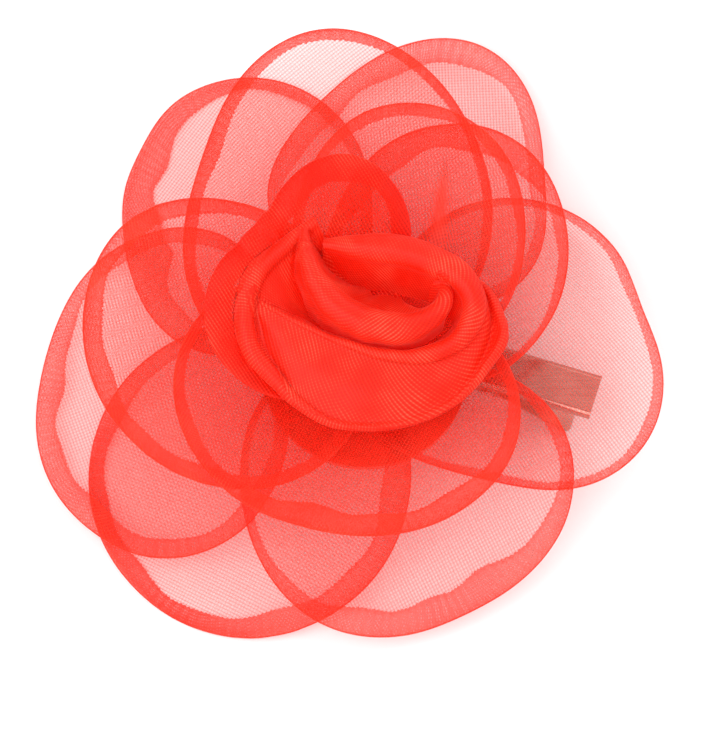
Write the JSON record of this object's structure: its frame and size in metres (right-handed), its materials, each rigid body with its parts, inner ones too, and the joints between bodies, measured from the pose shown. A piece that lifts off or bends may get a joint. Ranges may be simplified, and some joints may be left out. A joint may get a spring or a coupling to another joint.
{
  "type": "flower hair clip",
  "caption": "Rose of sheer woven petals with hemmed rims around a rolled bud, sewn to a felt backing on a sprung metal alligator clip that opens to grip hair.",
  "frame": {"origin": "middle of the whole part's box, at the table that it lies on", "axes": "+Z the way the flower faces, away from the clip; the clip's finger tabs point towards +X, turned 17.5 degrees towards -Y"},
  "size_m": [0.1121, 0.1144, 0.0383],
  "materials": {
    "sheer_petal": "sheer stiff organza, coral red",
    "bud_petal": "sheer organza in several rolled layers, coral red",
    "felt": "pressed felt, coral red",
    "thread": "sewing thread, coral red",
    "plated_strip": "nickel-plated steel strip, satin",
    "pin_steel": "plain steel pin",
    "spring_wire": "drawn spring wire"
  },
  "bodies": {
    "flower": {"felt_backing": "felt", "binding_thread": "thread", "outer_petal_lower_left": "sheer_petal", "outer_petal_upper_left": "sheer_petal", "outer_petal_right": "sheer_petal", "outer_petal_lower_right": "sheer_petal", "outer_petal_left": "sheer_petal", "outer_petal_upper_right": "sheer_petal", "middle_petal_upper": "sheer_petal", "middle_petal_right": "sheer_petal", "middle_petal_left": "sheer_petal", "middle_petal_front": "sheer_petal", "inner_petal_back": "sheer_petal", "bud_hood_petal": "bud_petal", "bud_cup_petal": "bud_petal", "bud_roll_petal": "bud_petal", "bud_heart_petal": "bud_petal", "clip_upper_strip": "plated_strip", "hinge_pin": "pin_steel", "torsion_spring": "spring_wire"},
    "lower_jaw": {"clip_lower_jaw": "plated_strip"}
  },
  "joints": [
    {"name": "clip_hinge", "type": "hinge", "parent": "flower", "child": "lower_jaw", "pos_m": [0.02608, -0.00839, 0.01], "axis": [-0.3007, -0.9537, 0], "range_deg": [0, 26], "stiffness_Nm_per_rad": 0.06, "springref_deg": -22.92, "deforming": ["torsion_spring"]}
  ]
}
